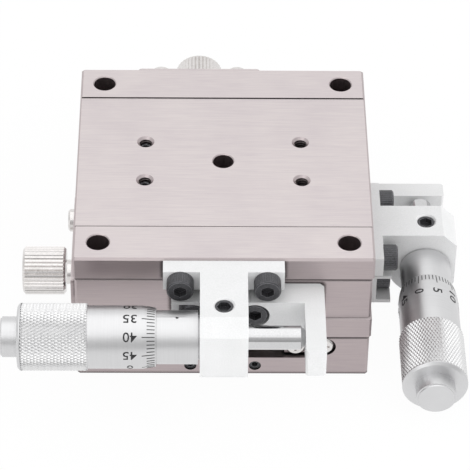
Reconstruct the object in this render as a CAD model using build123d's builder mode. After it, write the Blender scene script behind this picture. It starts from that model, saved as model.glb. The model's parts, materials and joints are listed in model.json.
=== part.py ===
from build123d import *
import os
from math import hypot

# Two-axis linear stage on crossed rollers: one single-axis module on top of another.
# Each axis is modelled in its own frame, at mid travel: rails along X, mounting face at Z = 0,
# micrometer on the -Y side with its thimble towards -X, travel lock on the +Y side.
# The upper axis stands one module up. The lower one is turned a quarter turn about Z.

# Blocks
plan = 60.0
axis_height = 16.0
plate_thickness = 5.3
plate_gap = 0.4
floor_thickness = 4.5
body_inset = 0.3
edge_chamfer = 0.45
travel = 6.5

# Ground lands along two sides of the top face
land_width = 9.6
land_proud = 0.12
land_groove_width = 0.3
land_groove_depth = 0.12

# Crossed-roller guides, with a cage between two V grooves
race_inset = 12.3
rail_gap = 0.6
leg_width = 4.8
leg_clearance = 0.5
leg_end_gap = 0.2
roller_diameter = 1.92
roller_length = 1.84
roller_clearance = 0.04
rollers_per_race = 7
cage_thickness = 0.3
cage_clearance = 0.6
cage_end = 5.2
cage_end_gap = 0.25
window_clearance = 0.09

# Screws that keep the cages in
stop_offset = 2.9
stop_head_radius = 2.1
stop_head_height = 1.2
stop_hole_radius = 0.85
stop_shank_length = 2.2
stop_pocket_clearance = 0.3

# Mounting holes
corner_inset = 5.0
corner_hole_radius = 2.25
corner_chamfer = 0.2
base_bore_radius = 3.7
base_bore_depth = 4.2
inner_pitch_long = 32.0
inner_pitch_short = 12.0
saddle_pitch_long = 24.0
saddle_pitch_short = 12.0
saddle_hole_depth = 4.8
inner_hole_chamfer = 0.5
centre_hole_radius = 2.1

# M3 socket head cap screws
thread_radius = 1.3
thread_clearance = 0.05
thread_relief = 0.3
cap_head_radius = 2.65
cap_head_height = 3.0
cap_head_chamfer = 0.25
cap_head_clearance = 0.3
cap_head_sunk = 0.1
cap_key_radius = 1.44
cap_key_depth = 1.4
clear_hole_radius = 1.6

# Micrometer bracket, a T seen from above
micrometer_out = 12.65
micrometer_z = 6.85
flange_width = 24.0
flange_thickness = 3.3
flange_top_drop = 0.4
flange_rise = 0.2
column_width = 9.4
column_overhang = 6.35
column_clearance = 0.45
column_chamfer = 2.9
lug_radius = 7.8
lug_floor = 0.2
bracket_screw_pitch = 17.2
bracket_screw_drop = 3.0
bracket_screw_length = 7.5
clamp_hole_radius = 1.85
clamp_chamfer = 0.3
clamp_screw_length = 2.5
clamp_key_radius = 0.9

# Micrometer head
stem_radius = 4.75
stem_clearance = 0.02
undercut_length = 0.35
undercut_depth = 0.35
barrel_radius = 5.2
barrel_length = 24.0
guide_length = 17.2
nut_seat_radius = 4.0
nut_radius = 4.95
nut_length = 2.4
wrench_hole_radius = 0.6
wrench_hole_depth = 0.9
wrench_hole_back = 4.1
spindle_radius = 2.25
screw_radius = 2.7
running_clearance = 0.05
screw_room = 0.5
tip_clearance = 0.03
tip_flat_radius = 1.5
tip_length = 0.9
thimble_end_gap = 1.7
thimble_room = 1.75
thimble_radius = 6.2
thimble_clearance = 0.08
thimble_bevel_length = 2.6
thimble_bevel_drop = 0.7
thimble_back = 3.0
knurl_radius = 6.65
knurl_length = 13.65
knurl_chamfer = 0.3
knurl_rim = 0.2
knurl_depth = 0.15
spindle_end_radius = 1.9
cap_radius = 4.0
cap_length = 3.4
cap_chamfer = 0.5
cap_stud_radius = 0.9
cap_stud_length = 4.0

# Anvil plate, with the arm that the spindle bears on
anvil_left = 10.4
anvil_right = 20.0
anvil_thickness = 5.6
anvil_drop = 6.75
anvil_height = 7.4
anvil_arm_height = 6.5
anvil_arm_width = 4.0
anvil_arm_overhang = 6.45
anvil_chamfer = 0.8
anvil_arm_chamfer = 0.4
anvil_screw_pitch = 12.4
anvil_screw_drop = 3.6
anvil_bore_depth = 3.1
anvil_screw_length = 7.0

# Travel lock
lock_x = -5.0
lock_z = 5.7
lock_plate_length = 26.3
lock_plate_thickness = 1.2
lock_plate_drop = 0.9
lock_plate_lift = 3.0
lock_plate_corner = 1.0
lock_slot_clearance = 0.5
lock_slot_corner = 0.4
lock_screw_pitch = 16.2
lock_screw_drop = 3.4
lock_head_radius = 2.4
lock_head_height = 1.2
lock_hole_radius = 1.2
lock_shank_length = 5.5
knob_radius = 4.85
knob_length = 9.2
knob_chamfer = 0.5
knob_teeth = 38
knob_tooth_depth = 0.3
knob_collar_radius = 3.2
knob_collar_length = 1.25
knob_stud_length = 6.5
knob_clearance = 0.1

# Pan head recess
recess_length = 2.2
recess_width = 0.5
recess_depth = 0.5
pan_rim = 0.4

# Preload springs between posts, and the set screws in the end of the floor
spring_y = 9.9
spring_radius = 1.6
spring_wire = 0.35
spring_hook_gap = 0.1
spring_hook_length = 2.6
post_inset = 8.0
post_radius = 0.9
post_end_gap = 1.7
post_seat_depth = 2.5
set_screw_y = 6.6
set_screw_z = 2.2
set_screw_radius = 1.25
set_screw_length = 4.0
set_screw_sunk = 0.8
set_screw_key_radius = 0.7
key_depth = 1.2

# Sizes and places that follow
side = plan / 2
body_side = plan - 2 * body_inset
body_face = body_side / 2
plate_bottom = axis_height - plate_thickness
body_height = plate_bottom - plate_gap
race_z = (floor_thickness + plate_bottom) / 2
corner_pitch = plan - 2 * corner_inset
race_y = side - race_inset
race_square = roller_diameter + 2 * roller_clearance
wall_face = race_y + rail_gap / 2
leg_face = race_y - rail_gap / 2
leg_middle = leg_face - leg_width / 2
leg_end = side - leg_end_gap - stop_head_height
leg_bottom = floor_thickness + leg_clearance
cage_height = 2 * (race_z - leg_bottom - cage_clearance)
stop_seat = body_face - stop_head_height
cage_length = 2 * (stop_seat - cage_end_gap - travel / 2)
roller_pitch = (cage_length - 2 * cage_end) / (rollers_per_race - 1)
cap_bore_radius = cap_head_radius + cap_head_clearance
cap_bore_depth = cap_head_height + cap_head_sunk
saddle_screw_grip = saddle_hole_depth - thread_relief
post_x = side - post_inset
axis_y = -side - micrometer_out
anvil_top = axis_height - anvil_drop
anvil_bottom = anvil_top - anvil_height
anvil_screw_z = anvil_top - anvil_screw_drop
anvil_front = -body_face - anvil_thickness
arm_face = anvil_right - anvil_arm_width
column_half = column_width / 2
column_inner = anvil_front - column_clearance
column_outer = axis_y - column_overhang
bracket_top = axis_height - flange_top_drop
bracket_bottom = plate_bottom + flange_rise
bracket_screw_z = axis_height - bracket_screw_drop
bracket_screw_seat = -side - flange_thickness
barrel_front = -column_half - undercut_length
barrel_rear = barrel_front - barrel_length
guide_rear = column_half - guide_length
spindle_front = arm_face - tip_clearance
thimble_front = barrel_front - travel - thimble_end_gap
thimble_floor = barrel_rear - travel - thimble_room
thimble_rear = thimble_floor - thimble_back
lock_plate_top = axis_height - lock_plate_drop
lock_plate_face = side + lock_plate_thickness
lock_screw_z = axis_height - lock_screw_drop
knob_seat = lock_plate_face + knob_clearance

upwards = (Align.CENTER, Align.CENTER, Align.MIN)
downwards = (Align.CENTER, Align.CENTER, Align.MAX)
standing = (Align.CENTER, Align.MIN)


def seats(points, direction):
    """Planes at the points given, all facing one way."""
    return [Plane(origin=point, z_dir=direction) for point in points]


def mirrored(x, y, z, across):
    """A point and its twin, mirrored across the X or the Y direction."""
    if across == "x":
        return [(-x, y, z), (x, y, z)]
    return [(x, -y, z), (x, y, z)]


def end_seats(y, x):
    """Places of the four cage stop screws of one part, on its two end faces."""
    front = seats(mirrored(x, y, race_z, "y"), (1, 0, 0))
    back = seats(mirrored(-x, y, race_z, "y"), (-1, 0, 0))
    return front + back


body_stop_seats = end_seats(race_y + stop_offset, stop_seat)
body_stop_mouths = end_seats(race_y + stop_offset, body_face)
leg_stop_seats = end_seats(race_y - stop_offset, leg_end)
bracket_seats = seats(mirrored(bracket_screw_pitch / 2, bracket_screw_seat, bracket_screw_z, "x"), (0, -1, 0))
bracket_hole_mouths = seats(mirrored(bracket_screw_pitch / 2, -side, bracket_screw_z, "x"), (0, -1, 0))
anvil_seats = seats(mirrored(anvil_screw_pitch / 2, anvil_front + anvil_bore_depth, anvil_screw_z, "x"), (0, -1, 0))
anvil_hole_mouths = seats(mirrored(anvil_screw_pitch / 2, -body_face, anvil_screw_z, "x"), (0, -1, 0))
lock_places = [(lock_x + turn * lock_screw_pitch / 2, lock_screw_z) for turn in (-1, 1)]
lock_seats = seats([(x, lock_plate_face, z) for x, z in lock_places], (0, 1, 0))
lock_hole_mouths = seats([(x, side, z) for x, z in lock_places], (0, 1, 0))
body_post_seats = seats(mirrored(post_x, spring_y, floor_thickness, "y"), (0, 0, 1))
carriage_post_seats = seats(mirrored(-post_x, spring_y, plate_bottom, "y"), (0, 0, -1))
set_screw_mouths = seats(mirrored(-body_face, set_screw_y, set_screw_z, "y"), (-1, 0, 0))


def guide_body(floor_bores):
    """U-shaped block with a V groove in each wall, and bores in its floor where it is screwed down."""
    with BuildPart() as block:
        Box(body_side, body_side, body_height, align=upwards)
        chamfer(block.edges().filter_by(Axis.Z), edge_chamfer)
        chamfer(block.faces().sort_by(Axis.Z)[-1].edges(), edge_chamfer)
        with BuildSketch(Plane.YZ):
            with Locations((0, floor_thickness)):
                Rectangle(2 * wall_face, body_height, align=standing)
            with Locations((-race_y, race_z), (race_y, race_z)):
                Rectangle(race_square, race_square, rotation=45)
        extrude(amount=plan, both=True, mode=Mode.SUBTRACT)
        with Locations((0, 0, body_height)):
            with GridLocations(corner_pitch, corner_pitch, 2, 2):
                CounterBoreHole(corner_hole_radius, base_bore_radius, base_bore_depth)
        if floor_bores:
            with Locations((0, 0, floor_thickness)):
                with GridLocations(saddle_pitch_long, saddle_pitch_short, 2, 2):
                    CounterBoreHole(clear_hole_radius, cap_bore_radius, cap_bore_depth)
        with Locations(*body_stop_mouths):
            CounterBoreHole(
                stop_hole_radius,
                stop_head_radius + stop_pocket_clearance,
                stop_head_height,
                stop_head_height + stop_shank_length,
            )
        with Locations(*anvil_hole_mouths):
            Hole(thread_radius, anvil_screw_length - anvil_thickness + anvil_bore_depth + thread_relief)
        with Locations(Plane(origin=(lock_x, body_face, lock_z), z_dir=(0, 1, 0))):
            Hole(thread_radius, knob_stud_length + thread_relief)
        with Locations(*body_post_seats):
            Hole(post_radius, post_seat_depth)
        with Locations(*set_screw_mouths):
            Hole(set_screw_radius, set_screw_sunk + set_screw_length + thread_relief)
    return block.part


def carriage(hole_pitches, hole_depth):
    """Flat plate with two legs hanging between the body's walls, each with a V groove outside."""
    with BuildPart() as plate:
        with Locations((0, 0, plate_bottom)):
            Box(plan, plan, plate_thickness, align=upwards)
        chamfer(plate.edges().filter_by(Axis.Z), edge_chamfer)
        chamfer(plate.faces().sort_by(Axis.Z)[-1].edges(), edge_chamfer)
        with BuildSketch(Plane.YZ):
            with Locations((-leg_middle, leg_bottom), (leg_middle, leg_bottom)):
                Rectangle(leg_width, plate_bottom - leg_bottom + edge_chamfer, align=standing)
            with Locations((-race_y, race_z), (race_y, race_z)):
                Rectangle(race_square, race_square, rotation=45, mode=Mode.SUBTRACT)
        extrude(amount=leg_end, both=True)
        land_edge = side - land_width
        with BuildSketch(Plane.YZ):
            with Locations((0, axis_height)):
                Rectangle(2 * land_edge, 2 * land_proud)
            groove_y = land_edge - land_groove_width / 2
            with Locations((-groove_y, axis_height), (groove_y, axis_height)):
                Rectangle(land_groove_width, 2 * (land_proud + land_groove_depth))
        extrude(amount=plan, both=True, mode=Mode.SUBTRACT)
        with Locations((0, 0, axis_height)):
            with GridLocations(corner_pitch, corner_pitch, 2, 2):
                CounterSinkHole(corner_hole_radius, corner_hole_radius + corner_chamfer, plate_thickness, 90)
        with Locations((0, 0, axis_height - land_proud)):
            with GridLocations(*hole_pitches, 2, 2):
                CounterSinkHole(thread_radius, thread_radius + inner_hole_chamfer, hole_depth, 90)
            CounterSinkHole(centre_hole_radius, centre_hole_radius + corner_chamfer, plate_thickness, 90)
        with Locations(*leg_stop_seats):
            Hole(stop_hole_radius, stop_shank_length)
        with Locations(*bracket_hole_mouths):
            Hole(thread_radius, bracket_screw_length - flange_thickness + thread_relief)
        with Locations(*lock_hole_mouths):
            Hole(lock_hole_radius, lock_shank_length - lock_plate_thickness + thread_relief)
        with Locations(*carriage_post_seats):
            Hole(post_radius, post_seat_depth)
    return plate.part


def cages():
    """Two thin strips with a window for each roller."""
    with BuildPart() as strips:
        with Locations((0, -race_y, race_z), (0, race_y, race_z)):
            Box(cage_length, cage_thickness, cage_height)
            with GridLocations(roller_pitch, 1, rollers_per_race, 1):
                Box(
                    roller_diameter + 2 * window_clearance,
                    2 * cage_thickness,
                    hypot(roller_diameter, roller_length) + 2 * window_clearance,
                    mode=Mode.SUBTRACT,
                )
    return strips.part


def rollers():
    """Rollers of both races, each crossed with the one before."""
    with BuildPart() as both:
        for number in range(rollers_per_race):
            x = (number - (rollers_per_race - 1) / 2) * roller_pitch
            lean = 1 if number % 2 else -1
            for turn in (-1, 1):
                with Locations(Plane(origin=(x, turn * race_y, race_z), z_dir=(0, lean, 1))):
                    Cylinder(roller_diameter / 2, roller_length)
    return both.part


def pan_screws(planes, head_radius, head_height, shank_radius, shank_length):
    """Pan head screws with a cross recess, heads on the planes given."""
    with BuildPart() as screws:
        with Locations(*planes):
            Cylinder(head_radius, head_height - pan_rim, align=upwards)
            Cylinder(shank_radius, shank_length, align=downwards)
        with Locations(*[plane.offset(head_height - pan_rim) for plane in planes]):
            Cone(head_radius, head_radius - pan_rim, pan_rim, align=upwards)
        with BuildSketch(*[plane.offset(head_height) for plane in planes]):
            Rectangle(recess_length, recess_width)
            Rectangle(recess_width, recess_length)
        extrude(amount=-recess_depth, mode=Mode.SUBTRACT)
    return screws.part


def cap_screws(planes, length):
    """Socket head cap screws, heads on the planes given."""
    body = cap_head_height - cap_head_chamfer
    with BuildPart() as screws:
        with Locations(*planes):
            Cylinder(cap_head_radius, body, align=upwards)
            Cylinder(thread_radius - thread_clearance, length, align=downwards)
        with Locations(*[plane.offset(body) for plane in planes]):
            Cone(cap_head_radius, cap_head_radius - cap_head_chamfer, cap_head_chamfer, align=upwards)
        with BuildSketch(*[plane.offset(cap_head_height) for plane in planes]):
            RegularPolygon(cap_key_radius, 6)
        extrude(amount=-cap_key_depth, mode=Mode.SUBTRACT)
    return screws.part


def set_screws(planes, radius, length, key_radius):
    """Headless screws with a hexagon socket, ends on the planes given."""
    with BuildPart() as screws:
        with Locations(*planes):
            Cylinder(radius, length, align=downwards)
        with BuildSketch(*planes):
            RegularPolygon(key_radius, 6)
        extrude(amount=-key_depth, mode=Mode.SUBTRACT)
    return screws.part


def turned(outline):
    """A piece turned about the micrometer's axis, from (x, radius) points."""
    line = (0, axis_y, micrometer_z)
    with BuildPart() as piece:
        with BuildSketch(Plane(origin=line, x_dir=(1, 0, 0), z_dir=(0, -1, 0))):
            with BuildLine():
                Polyline(*outline, close=True)
            make_face()
        revolve(axis=Axis(line, (1, 0, 0)))
    return piece.part


def micrometer_bracket():
    """Flange on the carriage, and a column that carries the head in a round-bottomed lug."""
    column_depth = column_inner - column_outer
    column_centre = (column_inner + column_outer) / 2
    with BuildPart() as bracket:
        with BuildSketch(Plane.YZ):
            with Locations((axis_y, micrometer_z)):
                Circle(lug_radius)
            with Locations((column_centre, lug_floor)):
                Rectangle(column_depth, micrometer_z - lug_floor, align=standing, mode=Mode.INTERSECT)
            with Locations((column_centre, micrometer_z)):
                Rectangle(column_depth, bracket_top - micrometer_z, align=standing)
        extrude(amount=column_half, both=True)
        chamfer(bracket.edges().filter_by(Axis.X).group_by(Axis.Z)[-1].sort_by(Axis.Y)[0], column_chamfer)
        with BuildSketch(Plane.XY.offset(bracket_bottom)):
            with Locations((0, -side - flange_thickness / 2)):
                Rectangle(flange_width, flange_thickness)
            with Locations((0, (column_inner - side) / 2)):
                Rectangle(column_width, -side - column_inner)
        extrude(amount=bracket_top - bracket_bottom)
        with Locations(Plane(origin=(column_half, axis_y, micrometer_z), z_dir=(1, 0, 0))):
            Hole(stem_radius + stem_clearance, column_width)
        with Locations(Plane.XY.offset(bracket_top)):
            with Locations((0, axis_y)):
                CounterSinkHole(clamp_hole_radius, clamp_hole_radius + clamp_chamfer, bracket_top - micrometer_z, 90)
        with Locations(*bracket_seats):
            Hole(clear_hole_radius, flange_thickness)
    return bracket.part


def clamp_screw():
    """Set screw that bears on the stem through the top of the column."""
    top = micrometer_z + stem_radius + stem_clearance + clamp_screw_length
    plane = Plane(origin=(0, axis_y, top))
    return set_screws([plane], clamp_hole_radius - thread_clearance, clamp_screw_length, clamp_key_radius)


def micrometer_sleeve():
    """Stem, undercut and graduated barrel in one, bored for the spindle and its screw."""
    outline = [
        (column_half, spindle_radius + running_clearance),
        (column_half, stem_radius),
        (-column_half, stem_radius),
        (-column_half, stem_radius - undercut_depth),
        (barrel_front, stem_radius - undercut_depth),
        (barrel_front, barrel_radius),
        (barrel_rear + nut_length, barrel_radius),
        (barrel_rear + nut_length, nut_seat_radius),
        (barrel_rear, nut_seat_radius),
        (barrel_rear, screw_radius + running_clearance),
        (guide_rear, screw_radius + running_clearance),
        (guide_rear, spindle_radius + running_clearance),
    ]
    hole_x = barrel_front - wrench_hole_back
    with BuildPart() as sleeve:
        add(turned(outline))
        with Locations((hole_x, axis_y, micrometer_z + barrel_radius)):
            Hole(wrench_hole_radius, wrench_hole_depth)
    return sleeve.part


def adjusting_nut():
    """Ring on the rear end of the sleeve, out of sight in the thimble."""
    seat = nut_seat_radius + thread_clearance
    outline = [
        (barrel_rear, seat),
        (barrel_rear, nut_radius),
        (barrel_rear + nut_length, nut_radius),
        (barrel_rear + nut_length, seat),
    ]
    return turned(outline)


def spindle():
    """Spindle with a coned tip, its screw, and a reduced end held in the thimble."""
    screw_front = guide_rear - travel - screw_room
    outline = [
        (spindle_front, 0),
        (spindle_front, tip_flat_radius),
        (spindle_front - tip_length, spindle_radius),
        (screw_front, spindle_radius),
        (screw_front, screw_radius),
        (thimble_floor, screw_radius),
        (thimble_floor, spindle_end_radius),
        (thimble_rear, spindle_end_radius),
        (thimble_rear, cap_stud_radius),
        (thimble_rear + cap_stud_length + thread_relief, cap_stud_radius),
        (thimble_rear + cap_stud_length + thread_relief, 0),
    ]
    return turned(outline)


def thimble():
    """Thimble with a bevelled edge for the scale and a wider grip."""
    bore = barrel_radius + thimble_clearance
    grip_front = thimble_rear + knurl_length
    knurl_root = knurl_radius - knurl_depth
    outline = [
        (thimble_front, bore),
        (thimble_front, thimble_radius - thimble_bevel_drop),
        (thimble_front - thimble_bevel_length, thimble_radius),
        (grip_front, thimble_radius),
        (grip_front, knurl_radius - knurl_chamfer),
        (grip_front - knurl_chamfer, knurl_radius),
        (grip_front - knurl_chamfer - knurl_rim, knurl_radius),
        (grip_front - knurl_chamfer - knurl_rim, knurl_root),
        (thimble_rear + knurl_chamfer + knurl_rim, knurl_root),
        (thimble_rear + knurl_chamfer + knurl_rim, knurl_radius),
        (thimble_rear + knurl_chamfer, knurl_radius),
        (thimble_rear, knurl_radius - knurl_chamfer),
        (thimble_rear, spindle_end_radius + thread_clearance),
        (thimble_floor, spindle_end_radius + thread_clearance),
        (thimble_floor, bore),
    ]
    return turned(outline)


def thimble_cap():
    """End cap that screws into the spindle and holds the thimble on it."""
    stud = cap_stud_radius - thread_clearance
    end = thimble_rear - cap_length
    outline = [
        (thimble_rear + cap_stud_length, 0),
        (thimble_rear + cap_stud_length, stud),
        (thimble_rear, stud),
        (thimble_rear, cap_radius),
        (end + cap_chamfer, cap_radius),
        (end, cap_radius - cap_chamfer),
        (end, 0),
    ]
    return turned(outline)


def anvil_plate():
    """Plate on the body's side whose arm reaches out in front of the spindle."""
    reach = axis_y - anvil_arm_overhang
    corner = (Align.MAX, Align.MAX)
    with BuildPart() as plate:
        with BuildSketch(Plane.XY.offset(anvil_top)) as outline:
            with Locations((anvil_right, -body_face)):
                Rectangle(anvil_left + anvil_right, anvil_thickness, align=corner)
            chamfer(outline.vertices().group_by(Axis.Y)[-1].sort_by(Axis.X)[-1], anvil_chamfer)
        extrude(amount=-anvil_height)
        with BuildSketch(Plane.XY.offset(anvil_top)) as arm:
            with Locations((anvil_right, anvil_front)):
                Rectangle(anvil_arm_width, anvil_front - reach, align=corner)
            chamfer(arm.vertices().group_by(Axis.Y)[0], anvil_arm_chamfer)
        extrude(amount=-anvil_arm_height)
        with Locations(*anvil_seats):
            Hole(clear_hole_radius, anvil_thickness)
        with BuildSketch(Plane(origin=(0, anvil_front, anvil_screw_z), x_dir=(1, 0, 0), z_dir=(0, -1, 0))):
            with Locations((-anvil_screw_pitch / 2, 0), (anvil_screw_pitch / 2, 0)):
                Circle(cap_bore_radius)
            with Locations((-anvil_screw_pitch / 2, 0)):
                Rectangle(anvil_left, 2 * cap_bore_radius, align=(Align.MAX, Align.CENTER))
        extrude(amount=-anvil_bore_depth, mode=Mode.SUBTRACT)
    return plate.part


def lock_plate():
    """Thin plate on the carriage, with a window as long as the travel for the lock's stud."""
    height = lock_plate_top - lock_plate_lift
    slot_width = 2 * (thread_radius - thread_clearance + lock_slot_clearance)
    face = Plane(origin=(lock_x, side, 0), x_dir=(-1, 0, 0), z_dir=(0, 1, 0))
    with BuildPart() as plate:
        with BuildSketch(face):
            with Locations((0, lock_plate_lift + height / 2)):
                RectangleRounded(lock_plate_length, height, lock_plate_corner)
            with Locations((0, lock_z)):
                RectangleRounded(2 * travel + slot_width, slot_width, lock_slot_corner, mode=Mode.SUBTRACT)
        extrude(amount=lock_plate_thickness)
        with Locations(*lock_seats):
            Hole(lock_hole_radius + thread_clearance, lock_plate_thickness)
    return plate.part


def lock_knob():
    """Toothed thumb knob with a collar that clamps the lock plate, and its stud."""
    seat = Plane(origin=(lock_x, knob_seat, lock_z), z_dir=(0, 1, 0))
    with BuildPart() as knob:
        with Locations(seat.offset(knob_collar_length)):
            Cylinder(knob_radius, knob_length, align=upwards)
        chamfer(knob.edges().filter_by(GeomType.CIRCLE), knob_chamfer)
        with BuildSketch(seat.offset(knob_collar_length)):
            with PolarLocations(knob_radius, knob_teeth):
                Rectangle(knob_tooth_depth, knob_tooth_depth, rotation=45)
        extrude(amount=knob_length, mode=Mode.SUBTRACT)
        with Locations(seat):
            Cylinder(knob_collar_radius, knob_collar_length, align=upwards)
            Cylinder(thread_radius - thread_clearance, knob_seat - body_face + knob_stud_length, align=downwards)
    return knob.part


def spring_posts(planes, height):
    """Plain pins pressed into their seats."""
    with BuildPart() as posts:
        with Locations(*[plane.offset(-post_seat_depth) for plane in planes]):
            Cylinder(post_radius, height + post_seat_depth, align=upwards)
    return posts.part


def preload_springs():
    """Close-wound tension springs, each a tube with an eye round the post at each end."""
    eye_inner = post_radius + spring_hook_gap
    eye_outer = eye_inner + spring_wire
    coil_end = post_x - spring_hook_length
    with BuildPart() as springs:
        for turn in (-1, 1):
            with Locations(Plane(origin=(0, turn * spring_y, race_z), z_dir=(1, 0, 0))):
                Cylinder(spring_radius, 2 * coil_end)
                Cylinder(spring_radius - spring_wire, 2 * (coil_end - spring_wire), mode=Mode.SUBTRACT)
            for end in (-1, 1):
                with BuildSketch(Plane.XY.offset(race_z - spring_wire / 2)):
                    with Locations((end * post_x, turn * spring_y)):
                        Circle(eye_outer)
                    with Locations((end * (coil_end + post_x) / 2, turn * spring_y)):
                        Rectangle(spring_hook_length, spring_wire)
                    with Locations((end * post_x, turn * spring_y)):
                        Circle(eye_inner, mode=Mode.SUBTRACT)
                extrude(amount=spring_wire)
    return springs.part


def write(part, name, place):
    """Label a piece and write it where it belongs on the stage."""
    placed = part.moved(place)
    placed.label = name
    export_step(placed, f"parts/{name}.step")


os.makedirs("parts", exist_ok=True)

upper = Location((0, 0, axis_height))
lower = Location((0, 0, 0), (0, 0, 90))

post_height = body_height - floor_thickness - post_end_gap + plate_gap
stop_shank = stop_hole_radius - thread_clearance
floor_grip = floor_thickness - cap_bore_depth
saddle_seats = seats(
    [
        (x, y, floor_grip)
        for x in (-saddle_pitch_long / 2, saddle_pitch_long / 2)
        for y in (-saddle_pitch_short / 2, saddle_pitch_short / 2)
    ],
    (0, 0, 1),
)
set_screw_seats = [mouth.offset(-set_screw_sunk) for mouth in set_screw_mouths]

blocks = {
    "table_plate": (carriage((inner_pitch_long, inner_pitch_short), plate_thickness), upper),
    "middle_body": (guide_body(True), upper),
    "saddle_screws": (cap_screws(saddle_seats, floor_grip + saddle_screw_grip), upper),
    "middle_plate": (carriage((saddle_pitch_short, saddle_pitch_long), saddle_hole_depth), lower),
    "base_body": (guide_body(False), lower),
}

axis_pieces = {
    "cages": cages(),
    "rollers": rollers(),
    "body_stop_screws": pan_screws(
        body_stop_seats, stop_head_radius, stop_head_height, stop_shank, stop_shank_length
    ),
    "carriage_stop_screws": pan_screws(
        leg_stop_seats, stop_head_radius, stop_head_height, stop_shank, stop_shank_length
    ),
    "micrometer_bracket": micrometer_bracket(),
    "bracket_screws": cap_screws(bracket_seats, bracket_screw_length),
    "clamp_screw": clamp_screw(),
    "anvil_plate": anvil_plate(),
    "anvil_screws": cap_screws(anvil_seats, anvil_screw_length),
    "micrometer_sleeve": micrometer_sleeve(),
    "adjusting_nut": adjusting_nut(),
    "spindle": spindle(),
    "thimble": thimble(),
    "thimble_cap": thimble_cap(),
    "lock_plate": lock_plate(),
    "lock_plate_screws": pan_screws(
        lock_seats, lock_head_radius, lock_head_height, lock_hole_radius - thread_clearance, lock_shank_length
    ),
    "lock_knob": lock_knob(),
    "preload_springs": preload_springs(),
    "body_spring_posts": spring_posts(body_post_seats, post_height),
    "carriage_spring_posts": spring_posts(carriage_post_seats, post_height),
    "end_set_screws": set_screws(
        set_screw_seats, set_screw_radius - thread_clearance, set_screw_length, set_screw_key_radius
    ),
}

for name, (part, place) in blocks.items():
    write(part, name, place)

for name, part in axis_pieces.items():
    write(part, f"x_{name}", upper)
    write(part, f"y_{name}", lower)
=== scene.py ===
"""Looks of a two-axis crossed-roller stage with micrometer heads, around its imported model."""
import json
from math import atan, atan2, cos, hypot, pi, radians, sin

import bpy
from mathutils import Matrix, Vector


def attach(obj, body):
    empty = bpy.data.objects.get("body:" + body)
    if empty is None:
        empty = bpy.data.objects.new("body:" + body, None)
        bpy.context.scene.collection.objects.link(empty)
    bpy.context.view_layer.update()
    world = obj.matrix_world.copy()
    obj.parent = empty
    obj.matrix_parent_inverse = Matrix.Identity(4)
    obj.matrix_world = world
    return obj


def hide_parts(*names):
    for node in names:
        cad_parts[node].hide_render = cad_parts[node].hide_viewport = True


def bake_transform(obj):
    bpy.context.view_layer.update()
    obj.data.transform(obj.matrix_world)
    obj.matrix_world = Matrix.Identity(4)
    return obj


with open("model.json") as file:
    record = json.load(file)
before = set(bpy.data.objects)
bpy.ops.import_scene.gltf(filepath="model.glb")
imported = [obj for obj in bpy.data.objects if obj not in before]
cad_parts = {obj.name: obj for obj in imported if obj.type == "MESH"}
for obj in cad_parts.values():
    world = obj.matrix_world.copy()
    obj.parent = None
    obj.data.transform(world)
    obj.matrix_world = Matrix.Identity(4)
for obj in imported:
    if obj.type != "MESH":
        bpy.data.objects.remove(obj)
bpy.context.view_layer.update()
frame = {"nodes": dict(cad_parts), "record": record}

# Everything is sized in millimetres and turned to metres by MM.
# Each piece is modelled on the upper axis, whose rails and micrometer run along X.
# The lower axis is the same, a quarter turn round and one module further down.
MM = 0.001
AXIS_HEIGHT = 16.0
PLAIN = Matrix.Identity(4)
TO_LOWER = Matrix.Translation((0, 0, -AXIS_HEIGHT * MM)) @ Matrix.Rotation(pi / 2, 4, "Z")

# Micrometer head: its axis runs along X, at this place in Y and Z
HEAD_Y = -42.65
HEAD_Z = 22.85
HEAD = (0, HEAD_Y, HEAD_Z)
THIMBLE_FRONT = -13.25
THIMBLE_RADIUS = 6.2
BEVEL_LENGTH = 2.6
BEVEL_RADIUS = 5.75
BEVEL_SLOPE = (THIMBLE_RADIUS - BEVEL_RADIUS) / BEVEL_LENGTH
BARREL_RADIUS = 5.3
WRENCH_HOLE_X = -9.15
WRENCH_HOLE_REACH = 0.7
WRENCH_HOLE_FLOOR = 4.0

# Diamond knurl of the grip
KNURL_ROOT = 6.42
KNURL_TIP = 6.64
KNURL_START = -26.67
KNURL_END = -39.68
KNURL_TEETH = 60
KNURL_ROWS = 10
KNURL_INSET = 0.24
KNURL_FLOOR_DROP = 0.02

# Scale on the thimble: 50 divisions, a number at every fifth
DIVISIONS = 50
DIVISION_ANGLE = 2 * pi / DIVISIONS
NUMBERED = 5
MARK_WIDTH = 0.17
MARK_PROUD = 0.025
MARK_START = -13.48
SHORT_MARK_END = -15.02
LONG_MARK_END = -15.99
NUMBER_CENTRE = -18.3
NUMBER_HEIGHT = 1.95
DIGIT_WIDTH = 1.22
DIGIT_CURVE_STEPS = 5
NUMBER_GAP = 0.24
NUMBER_BANDS = 8
STROKE_GROWTH = 0.008
UPPER_ZERO = radians(-28.4)
LOWER_TURN = radians(140.4)

# Scale along the sleeve: 13 mm, marked each half millimetre, on the side away from the wrench hole
SLEEVE_ZERO = -6.75
SLEEVE_SPAN = 13
SLEEVE_LINE_LEAD = 1
SLEEVE_LINE_END = -28.0
SLEEVE_LINE_WIDTH = 0.13
SLEEVE_MARK = 1.3
SLEEVE_HALF_MARK = 0.9
SLEEVE_NUMBERS = (0, 5, 10)
SLEEVE_NUMBER_SIZE = 0.75
SLEEVE_NUMBER_ANGLE = radians(-90 + 26)
LOWER_SLEEVE_TURN = radians(80)

# Cylinder that flat marks are wrapped on
FORMER_SIDES = 240
FORMER_LENGTH = 60
FORMER_MIDDLE = -20

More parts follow.
